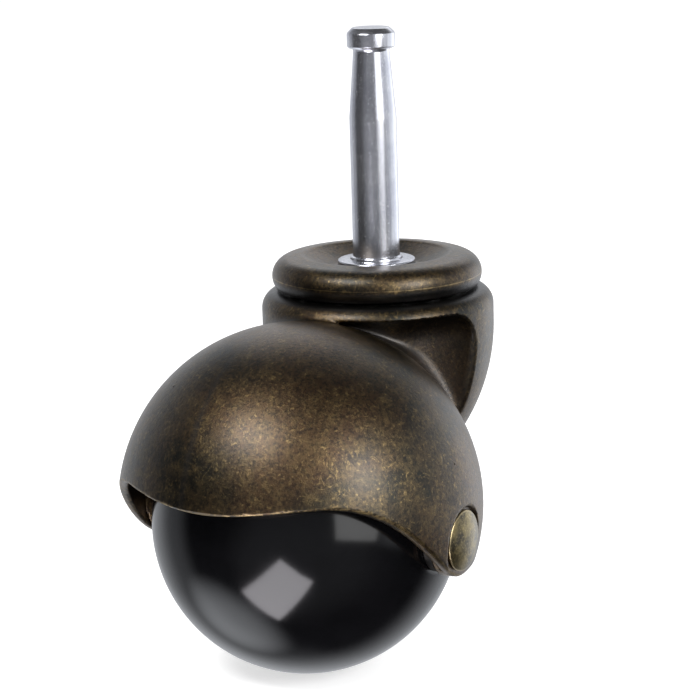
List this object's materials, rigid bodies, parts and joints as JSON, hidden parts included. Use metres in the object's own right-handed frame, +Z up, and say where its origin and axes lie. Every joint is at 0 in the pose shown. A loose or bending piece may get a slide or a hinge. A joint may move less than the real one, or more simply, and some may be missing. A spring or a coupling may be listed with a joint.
{
  "type": "hooded ball castor",
  "caption": "Swivelling furniture castor: a glossy black ball wheel under a rounded antique-brass hood, on a plain steel grip-neck stem.",
  "frame": {"origin": "centre of the stem flange's top face, on the swivel axis, where the furniture leg rests", "axes": "+Z up the stem, +X from the swivel axis toward the ball, Y along the ball's axle"},
  "size_m": [0.0761, 0.0602, 0.1033],
  "materials": {
    "zinc_plated_steel": "bright zinc plating, satin",
    "antique_brass": "dark antique brass plating, lacquered, with lighter rubbed edges",
    "rivet_brass": "antique brass plating, lighter and more worn",
    "black_gloss": "glossy black moulded plastic",
    "bearing_steel": "polished steel"
  },
  "bodies": {
    "mounting": {"stem": "zinc_plated_steel", "upper_disc": "antique_brass", "lower_washer": "zinc_plated_steel"},
    "swivel_body": {"hood": "antique_brass", "axle_rivet": "rivet_brass", "rivet_cap": "rivet_brass", "spacer_near": "zinc_plated_steel", "spacer_far": "zinc_plated_steel"},
    "wheel": {"ball_wheel": "black_gloss", "hub_bush": "zinc_plated_steel"},
    "ball_ring": {"bearing_ball_01": "bearing_steel", "bearing_ball_02": "bearing_steel", "bearing_ball_03": "bearing_steel", "bearing_ball_04": "bearing_steel", "bearing_ball_05": "bearing_steel", "bearing_ball_06": "bearing_steel", "bearing_ball_07": "bearing_steel", "bearing_ball_08": "bearing_steel", "bearing_ball_09": "bearing_steel", "bearing_ball_10": "bearing_steel", "bearing_ball_11": "bearing_steel", "bearing_ball_12": "bearing_steel", "bearing_ball_13": "bearing_steel", "bearing_ball_14": "bearing_steel", "bearing_ball_15": "bearing_steel", "bearing_ball_16": "bearing_steel"}
  },
  "joints": [
    {"name": "swivel", "type": "hinge", "parent": "mounting", "child": "swivel_body", "pos_m": [0, 0, 0], "axis": [0, 0, 1], "continuous": true},
    {"name": "ball_ring_orbit", "type": "hinge", "parent": "mounting", "child": "ball_ring", "pos_m": [0, 0, 0], "axis": [0, 0, 1], "continuous": true},
    {"name": "wheel_spin", "type": "hinge", "parent": "swivel_body", "child": "wheel", "pos_m": [0.0256, 0, -0.039], "axis": [0, 1, 0], "continuous": true}
  ],
  "couplings": [
    {"joint": "ball_ring_orbit", "follows": "swivel", "ratio": 0.5}
  ]
}
